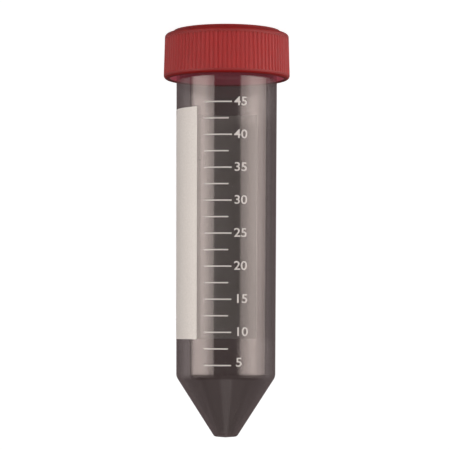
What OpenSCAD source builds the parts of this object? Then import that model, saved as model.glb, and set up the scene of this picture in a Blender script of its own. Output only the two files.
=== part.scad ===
// 50 ml conical tube with a ribbed screw cap, standing closed on the flat top of its cap.
// Z = 0 is the cap's top face and the tube's tip points up, along +Z.
// Angles round the tube are read with the cap uppermost: 0 is the front (-Y), right is positive.

/* [Tube] */
// Length of the tube from its rim to its tip
tube_len = 112.6; // [108:0.1:120]
// Outside diameter of the tube at its rim
rim_d = 28.6; // [27:0.01:30]
// Outside diameter of the tube where its cone starts
cone_d = 27.94; // [26:0.01:28.5]
// Length of the conical end, its rounded tip included
cone_len = 17.05; // [14:0.01:20]
// Diameter of the cone at its small end
tip_d = 6.4; // [5:0.1:8]
// Height of the slight dome that closes the small end
tip_dome = 0.3; // [0.05:0.05:0.5]
// Thickness of the straight wall
wall = 0.9; // [0.7:0.05:1.3]
// Thickness of the cone's wall
cone_wall = 1.1; // [0.8:0.05:1.6]
// Thickness of the floor inside the tip
floor_t = 1.3; // [1:0.1:2]
// Radius outside where the straight wall meets the cone
shoulder_round = 3; // [0.5:0.1:6]
// Radius outside round the tip
tip_round = 1; // [0.3:0.1:1.5]
// Radius inside round the floor of the cone
floor_round = 1.2; // [0.4:0.1:1.6]
// Radius on both edges of the rim
rim_round = 0.25; // [0.1:0.05:0.35]

/* [Screw thread] */
// Rise of the thread in one turn
lead = 4; // [3.6:0.1:4.6]
// Height of both threads
thread_h = 1.4; // [1.1:0.05:1.6]
// Width of a thread at its crest
crest_w = 0.8; // [0.6:0.05:1]
// Slope of a thread's flanks
flank_angle = 25; // [15:1:30]
// Gap from each thread's crest to the wall that it faces
crest_gap = 0.5; // [0.3:0.05:0.7]
// Gap along the axis between the two threads, on the side that pulls the cap down
flank_gap = 0.15; // [0.1:0.01:0.3]
// Distance from the rim to the middle of the tube's thread where it starts
thread_from_rim = 2; // [1.8:0.1:3]
// Distance from the open edge of the cap to the end of its thread
thread_from_edge = 1; // [0.8:0.1:2]
// Angle over which a thread rises from its wall at either end
fade_angle = 28; // [15:1:45]

/* [Cap] */
// Height of the cap
cap_h = 13.8; // [12.5:0.1:16]
// Thickness of the cap's top plate
plate_t = 1.5; // [1.2:0.1:2.5]
// Thickness of the skirt where it meets the top plate
skirt_t = 1.35; // [1.1:0.01:2]
// Angle by which the outside of the skirt flares towards its open edge
skirt_draft = 1.53; // [0.5:0.01:2.5]
// Distance from the skirt's outside to the raised disc on top
disc_inset = 2.4; // [1.8:0.1:4]
// Height of the raised disc above the shoulder round it
disc_step = 0.9; // [0.5:0.05:1.2]
// Radius on the edge of the raised disc
disc_round = 0.3; // [0.1:0.05:0.5]
// Radius where the shoulder turns down into the skirt
corner_round = 1; // [0.4:0.05:1.2]
// Radius on the outside of the skirt's open edge
edge_round = 1.1; // [0.3:0.1:1.1]
// Radius on the inside of the skirt's open edge
mouth_round = 0.4; // [0.1:0.05:0.4]

/* [Grip ribs] */
// Number of ribs round the skirt
rib_count = 88; // [60:1:100]
// Width of the groove between two ribs
groove_w = 0.78; // [0.5:0.02:0.96]
// Depth of the groove between two ribs
groove_depth = 0.26; // [0.1:0.01:0.5]
// Width of the groove's flat floor
groove_floor_w = 0.16; // [0.05:0.01:0.3]
// Distance from the cap's top to the start of the ribs
rib_from_top = 2.3; // [1.6:0.1:4]
// Width of the plain band between the ribs and the open edge
plain_band = 1.15; // [1.1:0.05:3]

/* [Sealing liner] */
// Thickness of the sealing liner
liner_t = 0.9; // [0.5:0.1:1.5]
// Gap between the liner's edge and the skirt
liner_gap = 0.4; // [0.2:0.05:0.8]

/* [Print] */
// Thickness of the printed ink
ink_t = 0.05; // [0.03:0.01:0.1]
// Distance from the tip to the lowest graduation line
line_from_tip = 20.48; // [18:0.01:24]
// Distance between two graduation lines
line_step = 4.5626; // [4.3:0.0001:4.7]
// Number of graduation lines, long and short by turns
line_count = 17; // [3:1:17]
// Thickness of a graduation line
line_w = 0.36; // [0.3:0.01:1]
// Angle at the left end of every graduation line
line_left_angle = -25.7; // [-40:0.1:-10]
// Angle at the right end of a long line
long_right_angle = 5.9; // [5:0.1:12]
// Angle at the right end of a short line
short_right_angle = 2.3; // [-5:0.1:4.5]
// Distance from the tip to the lower edge of the writing patch
patch_from_tip = 27.66; // [24:0.01:34]
// Height of the writing patch
patch_h = 64.7; // [40:0.1:66]
// Angle at the front edge of the writing patch
patch_right_angle = -35.4; // [-60:0.1:-30]
// Angle that the writing patch spans round the tube
patch_span_angle = 183; // [90:1:200]

/* [Hidden] */
$fn = 96;

// How far a cutter runs past the faces that it cuts, and a ridge's foot into its wall
over = 0.3;
// Straight steps in each rounded corner of a turned profile
round_steps = 8;
// Straight steps in one turn of a thread
turn_steps = 60;

// Heights along the axis
rim_z = plate_t + liner_t;
tip_z = rim_z + tube_len;
cone_z = tip_z - cone_len;
cone_end_z = tip_z - tip_dome;

// Radii
rim_r = rim_d / 2;
cone_r = cone_d / 2;
tip_r = tip_d / 2;
tube_crest_r = rim_r + thread_h;
cap_bore_r = tube_crest_r + crest_gap;
cap_crest_r = cap_bore_r - thread_h;
cap_top_r = cap_bore_r + skirt_t;
cap_edge_r = cap_top_r + cap_h * tan(skirt_draft);

// Slope of the cone, and how far its wall reaches along a radius
cone_angle = atan((cone_r - tip_r) / (cone_end_z - cone_z));
cone_reach = cone_wall / cos(cone_angle);

// The two threads share one helix; the cap's lies farther from the rim by this much
thread_root_w = crest_w + 2 * thread_h * tan(flank_angle);
shared_h = tube_crest_r - cap_crest_r;
thread_shift = crest_w + shared_h * tan(flank_angle) + flank_gap;
thread_z = rim_z + thread_from_rim;
cap_thread_z = thread_z + thread_shift;
cap_thread_end_z = cap_h - thread_from_edge - thread_root_w / 2;
thread_sweep = 360 * (cap_thread_end_z - cap_thread_z) / lead;

// Outside radius of the straight wall, which narrows evenly from the rim to the cone
function tube_r(z) = rim_r + (cone_r - rim_r) * (z - rim_z) / (cone_z - rim_z);
// Radius inside the cone
function cone_bore_r(z) = cone_r - cone_reach - (z - cone_z) * tan(cone_angle);
// Height at which the straight bore, of slope m, meets the bore of the cone
wall_slope = (cone_r - rim_r) / (cone_z - rim_z);
bore_meet_z = cone_z - (cone_reach - wall) / (tan(cone_angle) + wall_slope);

function unit(v) = v / norm(v);

// Points of the arc that rounds corner b, on the way from a to c
function corner_arc(a, b, c, r) =
    let (u = unit(a - b), v = unit(c - b), half = acos(u * v) / 2)
    let (centre = b + unit(u + v) * r / sin(half))
    let (from = b + u * r / tan(half) - centre, to = b + v * r / tan(half) - centre)
    let (start = atan2(from.y, from.x), turn = atan2(from.x * to.y - from.y * to.x, from * to))
    [for (i = [0 : round_steps]) centre + r * [
        cos(start + turn * i / round_steps),
        sin(start + turn * i / round_steps)
    ]];

// A closed outline from corners [x, y, rounding radius]
function rounded(corners) =
    let (n = len(corners), at = function (i) [corners[i % n].x, corners[i % n].y])
    [for (i = [0 : n - 1]) each corners[i].z == 0
        ? [at(i)]
        : corner_arc(at(i + n - 1), at(i), at(i + 1), corners[i].z)];

// A thread ridge on the common helix, from root_r, inside its wall, to crest_r
module thread_ridge(root_r, crest_r, start_z) {
    side = sign(crest_r - root_r);
    steps = ceil(turn_steps * thread_sweep / 360);
    root_half = crest_w / 2 + (abs(crest_r - root_r)) * tan(flank_angle);
    // Share of the full height at angle a: the ridge rises from its wall and sinks back into it
    rise = function (a) let (x = min(1, a / fade_angle, (thread_sweep - a) / fade_angle))
        0.06 + 0.94 * sin(90 * x);
    section = function (a) let (r = root_r + (crest_r - root_r) * rise(a)) [
        [root_r, -side * root_half],
        [r, -side * crest_w / 2],
        [r, side * crest_w / 2],
        [root_r, side * root_half]
    ];
    points = [for (i = [0 : steps]) let (a = thread_sweep * i / steps) each
        [for (p = section(a)) [p.x * cos(a), p.x * sin(a), start_z + lead * a / 360 + p.y]]];
    sides = [for (i = [0 : steps - 1]) for (j = [0 : 3]) let (k = (j + 1) % 4)
        each [[4 * i + j, 4 * i + 4 + k, 4 * i + 4 + j], [4 * i + j, 4 * i + k, 4 * i + 4 + k]]];
    polyhedron(points, concat(sides, [[3, 2, 1, 0], [for (j = [0 : 3]) 4 * steps + j]]));
}

module tube() {
    floor_z = tip_z - floor_t;
    color([0.27, 0.25, 0.24, 0.7]) {
        rotate_extrude() polygon(rounded([
            [rim_r - wall, rim_z, rim_round],
            [rim_r, rim_z, rim_round],
            [cone_r, cone_z, shoulder_round],
            [tip_r, cone_end_z, tip_round],
            [0, tip_z, 0],
            [0, floor_z, 0],
            [cone_bore_r(floor_z), floor_z, floor_round],
            [tube_r(bore_meet_z) - wall, bore_meet_z, 0]
        ]));
        thread_ridge(rim_r - over, tube_crest_r, thread_z);
    }
}

// One groove between two ribs, along the flared outside of the skirt at angle 0
module grip_groove() {
    out_w = groove_floor_w + (groove_w - groove_floor_w) * (groove_depth + over) / groove_depth;
    translate([cap_top_r, 0, 0]) rotate([0, skirt_draft, 0]) translate([0, 0, rib_from_top])
        linear_extrude(height = cap_h - plain_band - rib_from_top) polygon([
            [-groove_depth, -groove_floor_w / 2],
            [over, -out_w / 2],
            [over, out_w / 2],
            [-groove_depth, groove_floor_w / 2]
        ]);
}

module cap() {
    disc_r = cap_top_r - disc_inset;
    shoulder_r = cap_top_r + disc_step * tan(skirt_draft);
    color([0.7, 0.13, 0.13]) {
        difference() {
            rotate_extrude() polygon(rounded([
                [0, 0, 0],
                [disc_r, 0, disc_round],
                [disc_r + disc_step / 3, disc_step, 0],
                [shoulder_r, disc_step, corner_round],
                [cap_edge_r, cap_h, edge_round],
                [cap_bore_r, cap_h, mouth_round],
                [cap_bore_r, plate_t, 0],
                [0, plate_t, 0]
            ]));
            for (i = [0 : rib_count - 1]) rotate([0, 0, 360 * i / rib_count]) grip_groove();
        }
        thread_ridge(cap_bore_r + over, cap_crest_r, cap_thread_z);
    }
}

module sealing_liner() {
    color([0.93, 0.93, 0.9]) translate([0, 0, plate_t])
        cylinder(h = liner_t, r = cap_bore_r - liner_gap);
}

// A field of ink on the straight wall, between two heights above the tip and two angles
module ink(low, high, left, right) {
    bottom_z = tip_z - low;
    top_z = tip_z - high;
    rotate([0, 0, -90 - right]) rotate_extrude(angle = right - left) polygon([
        [tube_r(top_z), top_z],
        [tube_r(top_z) + ink_t, top_z],
        [tube_r(bottom_z) + ink_t, bottom_z],
        [tube_r(bottom_z), bottom_z]
    ]);
}

module writing_patch() {
    color([0.9, 0.88, 0.86])
        ink(patch_from_tip, patch_from_tip + patch_h,
            patch_right_angle - patch_span_angle, patch_right_angle);
}

module graduation_lines() {
    color([0.95, 0.94, 0.92]) for (i = [0 : line_count - 1]) {
        height = line_from_tip + i * line_step;
        right = i % 2 == 0 ? long_right_angle : short_right_angle;
        ink(height - line_w / 2, height + line_w / 2, line_left_angle, right);
    }
}

tube();
cap();
sealing_liner();
writing_patch();
graduation_lines();
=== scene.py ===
import math

import bmesh
import bpy
from mathutils import Matrix, Vector


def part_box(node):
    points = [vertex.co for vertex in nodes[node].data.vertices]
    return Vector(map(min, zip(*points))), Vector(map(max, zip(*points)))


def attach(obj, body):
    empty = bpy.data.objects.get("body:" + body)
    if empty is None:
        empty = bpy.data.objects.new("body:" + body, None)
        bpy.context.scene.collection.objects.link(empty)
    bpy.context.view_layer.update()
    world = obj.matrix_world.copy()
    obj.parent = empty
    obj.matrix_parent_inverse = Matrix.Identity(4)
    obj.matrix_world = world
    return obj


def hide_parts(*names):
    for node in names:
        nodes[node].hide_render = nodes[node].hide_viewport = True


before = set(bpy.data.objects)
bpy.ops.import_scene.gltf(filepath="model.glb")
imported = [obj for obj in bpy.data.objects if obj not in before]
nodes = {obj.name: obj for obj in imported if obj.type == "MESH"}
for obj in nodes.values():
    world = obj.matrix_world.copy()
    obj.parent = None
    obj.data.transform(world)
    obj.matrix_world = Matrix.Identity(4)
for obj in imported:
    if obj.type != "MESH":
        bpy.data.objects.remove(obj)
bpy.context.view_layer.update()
scene = bpy.context.scene
MM = 0.001
CAP_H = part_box("cap")[1].z

# ---------------------------------------------------------------- camera
# The cap stands on the floor and is at the top of the picture, so the camera is rolled by half a turn.
CAMERA_AT = Vector((0.353, -579.5, 83.17)) * MM
CAMERA_DOWN = math.radians(2.772)
CAMERA_TILT = math.radians(0.184)
LENS = 164.0
SENSOR = 36.0

camera_data = bpy.data.cameras.new("camera")
camera_data.lens, camera_data.sensor_width = LENS, SENSOR
camera_data.clip_start, camera_data.clip_end = 0.01, 100.0
camera = bpy.data.objects.new("camera", camera_data)
scene.collection.objects.link(camera)
scene.camera = camera
ahead = Vector((0, math.cos(CAMERA_DOWN), -math.sin(CAMERA_DOWN)))
right = Vector((-1, 0, 0))
up = right.cross(ahead)
tilt = Matrix.Rotation(CAMERA_TILT, 3, -ahead)
turned = Matrix((tilt @ right, tilt @ up, -ahead)).transposed()
camera.matrix_world = Matrix.Translation(CAMERA_AT) @ turned.to_4x4()

scene.view_settings.view_transform = "Standard"
scene.cycles.transparent_max_bounces = 24


# ---------------------------------------------------------------- nodes
def put(tree, value, socket):
    """Sets a socket to a value, or links another node's output to it."""
    if isinstance(value, bpy.types.NodeSocket):
        tree.links.new(value, socket)
    else:
        socket.default_value = value


def add(tree, kind, settings=None, **sockets):
    """A new node with its settings and its sockets, in whose names _ stands for a space."""
    made = tree.nodes.new("ShaderNode" + kind)
    for name, value in (settings or {}).items():
        setattr(made, name, value)
    for name, value in sockets.items():
        put(tree, value, made.inputs[name.replace("_", " ")])
    return made


def calculated(tree, operation, *values):
    made = add(tree, "Math", {"operation": operation})
    for socket, value in zip(made.inputs, values):
        put(tree, value, socket)
    return made.outputs["Value"]


def mixed(tree, factor, first, second, how="MIX"):
    kind = {"data_type": "RGBA", "blend_type": how}
    return add(tree, "Mix", kind, Factor=factor, A=first, B=second).outputs["Result"]


def graded(tree, source, levels, tint=(1, 1, 1)):
    """A tinted level by a 0 to 1 source, from (place, level) pairs."""
    made = add(tree, "ValToRGB", Fac=source)
    while len(made.color_ramp.elements) < len(levels):
        made.color_ramp.elements.new(0.5)
    for element, (at, level) in zip(made.color_ramp.elements, levels):
        element.position = at
        element.color = (*(level * c for c in tint), 1)
    return made.outputs["Color"]


def noise(tree, size, detail=2.0, roughness=0.5):
    """Noise whose features are about size metres across, in the part's own coordinates."""
    place = add(tree, "TexCoord").outputs["Object"]
    made = add(tree, "TexNoise", Vector=place, Scale=1 / size, Detail=detail, Roughness=roughness)
    return made.outputs["Fac"]


def spread(tree, source, low, high):
    """Maps noise, most of which lies between 0.3 and 0.7, to low..high."""
    made = add(tree, "MapRange", Value=source, From_Min=0.3, From_Max=0.7, To_Min=low, To_Max=high)
    return made.outputs["Result"]


def bumped(tree, shader, source, depth):
    """Relief of about depth metres."""
    bump = add(tree, "Bump", Strength=1.0, Distance=depth, Height=source)
    put(tree, bump.outputs["Normal"], shader.inputs["Normal"])


def seen_through(tree):
    """1 where a ray has passed through plastic, behind which the studio is dim, and the kinds of ray."""
    path = add(tree, "LightPath").outputs
    return calculated(tree, "GREATER_THAN", path["Transparent Depth"], 0.5), path


# ---------------------------------------------------------------- materials
def material(name, **sockets):
    """A material with one Principled node, and its node tree and that node."""
    made = bpy.data.materials.new(name)
    made.use_nodes = True
    shader = made.node_tree.nodes["Principled BSDF"]
    for socket, value in sockets.items():
        put(made.node_tree, value, shader.inputs[socket.replace("_", " ")])
    return made, made.node_tree, shader


def smoky(name, alpha):
    """
    One of the wall's two faces, which share how see-through the wall is. A low alpha also weakens
    the gloss, so the index is far above plastic's own.
    """
    made, tree, shader = material(name, Base_Color=(0.02, 0.014, 0.012, 1), IOR=2.67, Alpha=alpha)
    put(tree, spread(tree, noise(tree, 4 * MM), 0.035, 0.07), shader.inputs["Roughness"])
    bumped(tree, shader, noise(tree, 6 * MM), 0.004 * MM)
    return made


def ink(name, dark, light):
    """Matt ink, speckled between two tones."""
    made, tree, shader = material(name, IOR=1.45)
    speckle = noise(tree, 0.5 * MM, 4.0, 0.6)
    tones = mixed(tree, spread(tree, speckle, 0, 1), (*dark, 1), (*light, 1))
    put(tree, tones, shader.inputs["Base Color"])
    put(tree, spread(tree, speckle, 0.5, 0.65), shader.inputs["Roughness"])
    bumped(tree, shader, speckle, 0.01 * MM)
    return made


def red(name, shade, glow=0.0, ior=1.38):
    """
    The cap's plastic, with its colour times a level from (height in mm, level) pairs. Its glow stands
    in for the light that comes through its wall.
    """
    made, tree, shader = material(
        name, IOR=ior, Subsurface_Weight=0.35, Subsurface_Scale=1.2 * MM, Subsurface_Radius=(1.0, 0.2, 0.2),
        Emission_Color=(1.0, 0.22, 0.32, 1), Emission_Strength=glow)
    place = add(tree, "TexCoord").outputs["Object"]
    share = calculated(tree, "DIVIDE", add(tree, "SeparateXYZ", Vector=place).outputs["Z"], CAP_H)
    shades = graded(tree, share, [(z * MM / CAP_H, level) for z, level in shade])
    mottle = noise(tree, 3 * MM, 3.0)
    tones = mixed(tree, mottle, (0.3, 0.008, 0.008, 1), (0.34, 0.011, 0.01, 1))
    put(tree, mixed(tree, 1.0, tones, shades, "MULTIPLY"), shader.inputs["Base Color"])
    put(tree, spread(tree, mottle, 0.5, 0.6), shader.inputs["Roughness"])
    bumped(tree, shader, noise(tree, 0.4 * MM, 3.0), 0.006 * MM)
    return made


def foam(name):
    made, tree, shader = material(name, Roughness=0.8, IOR=1.4)
    cells = noise(tree, 0.3 * MM)
    put(tree, mixed(tree, cells, (0.72, 0.72, 0.68, 1), (0.88, 0.88, 0.84, 1)), shader.inputs["Base Color"])
    bumped(tree, shader, cells, 0.04 * MM)
    return made


SMOKY_OUTSIDE = smoky("smoky_plastic_outside", 0.24)
SMOKY_INSIDE = smoky("smoky_plastic_inside", 0.20)
INK = ink("white_print", (0.67, 0.63, 0.59), (0.75, 0.71, 0.67))
FINE_INK = ink("white_print_fine", (0.46, 0.43, 0.41), (0.54, 0.51, 0.48))
# The print's underside is a darker copy of the same white ink: painted shade for the dim light that reaches
# it behind the wall.
INK_BEHIND_SHADED = ink("white_print_behind_plastic_painted_shade", (0.235, 0.21, 0.20), (0.27, 0.24, 0.23))
# The cap's shoulder, its rounded lip and the flat face round its mouth are darker than the skirt,
# for the shade that they lie in.
SKIRT_SHADE = ((0.0, 0.7), (1.9, 0.74), (2.3, 0.8), (3.0, 1.0), (12.5, 1.0), (12.8, 0.75), (13.8, 0.7))
RED = red("red_moulded_plastic", SKIRT_SHADE)
RED_INSIDE = red("red_moulded_plastic_inside", ((0.0, 1.0), (13.8, 1.0)), glow=0.16)
RED_MOUTH = red("red_moulded_plastic_mouth", ((0.0, 0.7), (13.8, 0.7)), ior=1.22)
FOAM = foam("foam_liner")


def dress(obj, *materials):
    obj.data.materials.clear()
    for made in materials:
        obj.data.materials.append(made)


def outward(face):
    """How far a face looks away from the axis: 1 is straight out and -1 is straight in."""
    return face.normal.dot(Vector((face.center.x, face.center.y, 0)).normalized())


dress(nodes["tube"], SMOKY_OUTSIDE, SMOKY_INSIDE)
middle_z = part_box("tube")[1].z / 2
for face in nodes["tube"].data.polygons:
    floor_of_cone = face.normal.z < -0.5 and face.center.z > middle_z
    face.material_index = 1 if outward(face) < -0.1 or floor_of_cone else 0

dress(nodes["cap"], RED, RED_INSIDE, RED_MOUTH)
mouth_z = CAP_H - 0.5 * MM
for face in nodes["cap"].data.polygons:
    looks_in = outward(face) < -0.1 or abs(outward(face)) < 0.1 and face.normal.z > 0.5
    if face.center.z > mouth_z:
        face.material_index = 2 if face.normal.z > 0.6 else 0
    else:
        face.material_index = 1 if looks_in else 0

dress(nodes["sealing_liner"], FOAM)

# ---------------------------------------------------------------- print
# How far the ink stands proud of the wall, and how deep in the wall its underside lies
INK_OVER = 0.05 * MM
INK_UNDER = 0.06 * MM
# Points that are closer than this are one
SAME = 0.001 * MM


def print_ends():
    """(height, radius of the wall under the ink) at both ends of the writing patch."""
    found = []
    points = [v.co for v in nodes["writing_patch"].data.vertices]
    for end in (min(p.z for p in points), max(p.z for p in points)):
        found.append((end, min(p.xy.length for p in points if abs(p.z - end) < SAME)))
    return found


(LOW_Z, LOW_R), (HIGH_Z, HIGH_R) = print_ends()


def wall_r(z):
    return LOW_R + (HIGH_R - LOW_R) * (z - LOW_Z) / (HIGH_Z - LOW_Z)


def finished(bm, name, made, replaced=()):
    """Makes the mesh a piece of print, whose underside is in the darker, painted-shade copy of the ink that
    is seen through the wall.
    """
    bmesh.ops.recalc_face_normals(bm, faces=bm.faces)
    mesh = bpy.data.meshes.new(name)
    bm.to_mesh(mesh)
    bm.free()
    mesh.shade_smooth()
    mesh.set_sharp_from_angle(angle=math.radians(40))
    obj = bpy.data.objects.new(name, mesh)
    scene.collection.objects.link(obj)
    dress(obj, made, INK_BEHIND_SHADED)
    for face in mesh.polygons:
        keyed_in = face.center.xy.length < wall_r(face.center.z) - INK_UNDER / 2
        face.material_index = 1 if keyed_in else 0
    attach(obj, "tube")
    if replaced:
        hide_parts(*replaced)


def keyed(name, node, made):
    """The node's ink with its underside keyed into the wall, so that it also shows from inside."""
    bm = bmesh.new()
    bm.from_mesh(nodes[node].data)
    bmesh.ops.remove_doubles(bm, verts=bm.verts, dist=SAME)
    for v in bm.verts:
        if v.co.xy.length < wall_r(v.co.z) + INK_OVER / 2:
            v.co.xy *= 1 - INK_UNDER / v.co.xy.length
    finished(bm, name, made, (node,))


keyed("patch_print", "writing_patch", INK)
keyed("line_print", "graduation_lines", FINE_INK)

# ---------------------------------------------------------------- numerals
NUMBERS = range(5, 50, 5)
DIGIT_H = 2.45 * MM
DIGIT_PITCH = 1.96 * MM
# Where a number starts, to the right of the front
DIGIT_LEFT = math.radians(8.4)
# Width of a graduation line
LINE_W = 0.36 * MM
# How much bolder the built-in font is made, in its own units
BOLDER = 0.008
# In mm: how far a number stands above the middle of its line, and to the right of the other numbers
LIFT, LIFTED = 0.2, {5: 0.9}
SHIFTED = {5: 0.6, 10: 0.35, 15: 0.25}


def lettering(text):
    """The flat faces of a text in the built-in font, and its (low, high) along x and along y."""
    curve = bpy.data.curves.new("text", "FONT")
    curve.body = text
    curve.offset = BOLDER
    maker = bpy.data.objects.new("text", curve)
    scene.collection.objects.link(maker)
    bpy.context.view_layer.update()
    mesh = bpy.data.meshes.new_from_object(maker.evaluated_get(bpy.context.evaluated_depsgraph_get()))
    bpy.data.objects.remove(maker)
    bm = bmesh.new()
    bm.from_mesh(mesh)
    bmesh.ops.remove_doubles(bm, verts=bm.verts, dist=1e-5)
    return bm, [(min(v.co[i] for v in bm.verts), max(v.co[i] for v in bm.verts)) for i in (0, 1)]


def right_end(text):
    bm, ((_, end), _) = lettering(text)
    bm.free()
    return end


FONT_PITCH = right_end("00") - right_end("0")


def rank(face):
    """A number that orders faces by their first three vertices."""
    first, second, third = sorted(v.index for v in face.verts)[:3]
    return (first * 10000 + second) * 10000 + third


def numeral(text, line_z, shift, lift):
    """A number beside its line, read with the cap uppermost."""
    bm, (_, (low, high)) = lettering(text)
    top = bmesh.ops.extrude_face_region(bm, geom=bm.faces[:])["geom"]
    raised = {v for v in top if isinstance(v, bmesh.types.BMVert)}
    # An extrusion lists the sides in another order each run, so they are put in a fixed one.
    bm.verts.index_update()
    bm.faces.sort(key=rank)
    for v in bm.verts:
        along = shift + v.co.x / FONT_PITCH * DIGIT_PITCH
        z = line_z - lift - ((v.co.y - low) / (high - low) - 0.5) * DIGIT_H
        r = wall_r(z) + (INK_OVER if v in raised else -INK_UNDER)
        phi = DIGIT_LEFT + along / wall_r(z)
        v.co = (-r * math.sin(phi), -r * math.cos(phi), z)
    finished(bm, "numeral_" + text, FINE_INK)


line_low, line_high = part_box("graduation_lines")
first_z, last_z = line_high.z - LINE_W / 2, line_low.z + LINE_W / 2
for i, number in enumerate(NUMBERS):
    line_z = first_z + (last_z - first_z) * i / (len(NUMBERS) - 1)
    numeral(str(number), line_z, SHIFTED.get(number, 0.0) * MM, LIFTED.get(number, LIFT) * MM)

# ---------------------------------------------------------------- floor
WHITE = (1.05, 1.05, 1.05, 1)
BEHIND_PLASTIC = (0.085, 0.06, 0.06, 1)
FLOOR_R = 30.0
FLOOR_DROP = 0.03 * MM


def staged(name, mesh, made):
    obj = bpy.data.objects.new(name, mesh)
    scene.collection.objects.link(obj)
    dress(obj, made)
    return obj


def pale_floor(name):
    """Pale to the camera, and as dim as the backdrop where it is seen through plastic."""
    made, tree, shader = material(
        name, Base_Color=(0.3, 0.3, 0.3, 1), Roughness=0.9, Emission_Color=(1, 1, 1, 1))
    through, path = seen_through(tree)
    glow = calculated(tree, "MULTIPLY_ADD", path["Is Camera Ray"], 0.8, 0.15)
    put(tree, glow, shader.inputs["Emission Strength"])
    dim = add(tree, "Emission", Color=BEHIND_PLASTIC)
    mix = add(tree, "MixShader", Fac=through)
    put(tree, shader.outputs["BSDF"], mix.inputs[1])
    put(tree, dim.outputs["Emission"], mix.inputs[2])
    put(tree, mix.outputs["Shader"], tree.nodes["Material Output"].inputs["Surface"])
    return made


bm = bmesh.new()
bmesh.ops.create_circle(bm, cap_ends=True, segments=96, radius=FLOOR_R)
for v in bm.verts:
    v.co.z = -FLOOR_DROP
mesh = bpy.data.meshes.new("floor")
bm.to_mesh(mesh)
bm.free()
floor = staged("floor", mesh, pale_floor("pale_floor"))
floor.visible_diffuse = floor.visible_glossy = floor.visible_shadow = False

# ---------------------------------------------------------------- softboxes
# Only gloss shows them: they light no matt surface, and the camera doesn't see them.
WARM = (1.0, 0.85, 0.79)
POWER = 4.0
SOFTBOX_R = 0.30
SOFTBOX_LOW, SOFTBOX_HIGH = -0.04, 0.27
SOFTBOX_STEPS, SOFTBOX_ROWS = 120, 80


def smooth(low, high, x):
    """A soft step from 0 at low to 1 at high, or down from high to low where low is the larger."""
    x = max(0.0, min(1.0, (x - low) / (high - low)))
    return x * x * (3 - 2 * x)


def height_level(z):
    """How both softboxes fade with height: a little towards the cone, and more near both their ends."""
    ends = (0.25 + 0.75 * smooth(0.125, 0.105, z)) * (0.3 + 0.7 * smooth(-0.038, -0.012, z))
    return ends * (1 - 0.12 * smooth(0.03, 0.1, z))


def right_level(a):
    return (smooth(29, 36, a) * (0.5 + 0.5 * smooth(35, 66, a))
            * (1 - 0.18 * smooth(80, 90, a)) * smooth(104, 98, a))


def left_level(a):
    return (0.45 + 0.55 * smooth(28, 56, -a)) * smooth(90, 77, -a)


def softbox(name, first, last, level):
    """A curved warm light from first to last, in degrees to the right of the camera."""
    verts, faces, glow = [], [], []
    for i in range(SOFTBOX_STEPS + 1):
        a = first + (last - first) * i / SOFTBOX_STEPS
        x, y = -SOFTBOX_R * math.sin(math.radians(a)), -SOFTBOX_R * math.cos(math.radians(a))
        for j in range(SOFTBOX_ROWS + 1):
            z = SOFTBOX_LOW + (SOFTBOX_HIGH - SOFTBOX_LOW) * j / SOFTBOX_ROWS
            verts.append((x, y, z))
            glow.append([POWER * level(a) * height_level(z) * c for c in WARM])
    for i in range(SOFTBOX_STEPS):
        for j in range(SOFTBOX_ROWS):
            k = i * (SOFTBOX_ROWS + 1) + j
            faces.append((k, k + 1, k + SOFTBOX_ROWS + 2, k + SOFTBOX_ROWS + 1))
    mesh = bpy.data.meshes.new(name)
    mesh.from_pydata(verts, [], faces)
    layer = mesh.color_attributes.new("glow", "FLOAT_COLOR", "POINT")
    for k, value in enumerate(glow):
        layer.data[k].color = (*value, 1)
    made = bpy.data.materials.new(name)
    made.use_nodes = True
    tree = made.node_tree
    tree.nodes.clear()
    read = add(tree, "Attribute", {"attribute_name": "glow"})
    light = add(tree, "Emission", Color=read.outputs["Color"])
    add(tree, "OutputMaterial", Surface=light.outputs["Emission"])
    obj = staged(name, mesh, made)
    obj.visible_camera = obj.visible_diffuse = obj.visible_shadow = False


softbox("softbox_right", 29, 104, right_level)
softbox("softbox_left", -90, -28, left_level)

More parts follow.
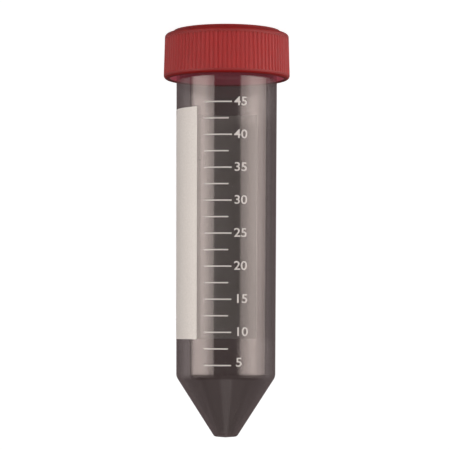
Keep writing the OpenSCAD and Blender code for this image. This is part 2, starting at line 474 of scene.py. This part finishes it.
# ---------------------------------------------------------------- backdrop and light
PALE = (1, 0.96, 0.94)
PINKISH = (1, 0.86, 0.86)
CREAM = (1, 0.9, 0.88)

world = bpy.data.worlds.new("studio")
scene.world = world
world.use_nodes = True
tree = world.node_tree
tree.nodes.clear()
direction = add(tree, "SeparateXYZ", Vector=add(tree, "TexCoord").outputs["Generated"]).outputs


def ramp(axis, levels, tint=(1, 1, 1)):
    """A light level by where it comes from along an axis: 0 is -1 on that axis and 1 is +1."""
    return graded(tree, calculated(tree, "MULTIPLY_ADD", direction[axis], 0.5, 0.5), levels, tint)


def product(first, second):
    return mixed(tree, 1.0, first, second, "MULTIPLY")


def total(first, second):
    return mixed(tree, 1.0, first, second, "ADD")


# What gloss mirrors besides the softboxes: a light round both sides and behind, and one overhead
round_light = product(
    ramp("Y", ((0.48, 0.03), (0.54, 1.0), (0.72, 0.9), (0.88, 0.35), (1.0, 0.3)), PINKISH),
    ramp("Z", ((0.12, 0.2), (0.32, 1.0), (0.6, 1.0), (0.8, 0.22))))
overhead_light = product(
    ramp("Z", ((0.85, 0.0), (0.93, 0.3)), CREAM),
    ramp("X", ((0.38, 1.0), (0.43, 2.1), (0.55, 1.9), (0.61, 1.0))))
mirror_light = total(round_light, overhead_light)

# What lights matt surfaces: level light from the front, from both sides and from behind
front_light = ramp("Y", ((0.0, 6.0), (0.12, 6.0), (0.3, 0.12), (0.8, 0.1), (1.0, 3.8)), PALE)
side_light = ramp("X", ((0.0, 5.6), (0.1, 4.4), (0.25, 0.0), (0.75, 0.0), (0.9, 1.9), (1.0, 2.3)), PALE)
soft_light = product(
    total(front_light, side_light),
    ramp("Z", ((0.0, 0.05), (0.4, 0.12), (0.46, 1.0), (0.5, 1.0), (0.55, 0.12), (1.0, 0.05))))

through, path = seen_through(tree)
backdrop = mixed(tree, through, WHITE, BEHIND_PLASTIC)
light = mixed(tree, path["Is Glossy Ray"], soft_light, mirror_light)
back = add(tree, "Background", Color=mixed(tree, path["Is Camera Ray"], light, backdrop))
add(tree, "OutputWorld", Surface=back.outputs["Background"])
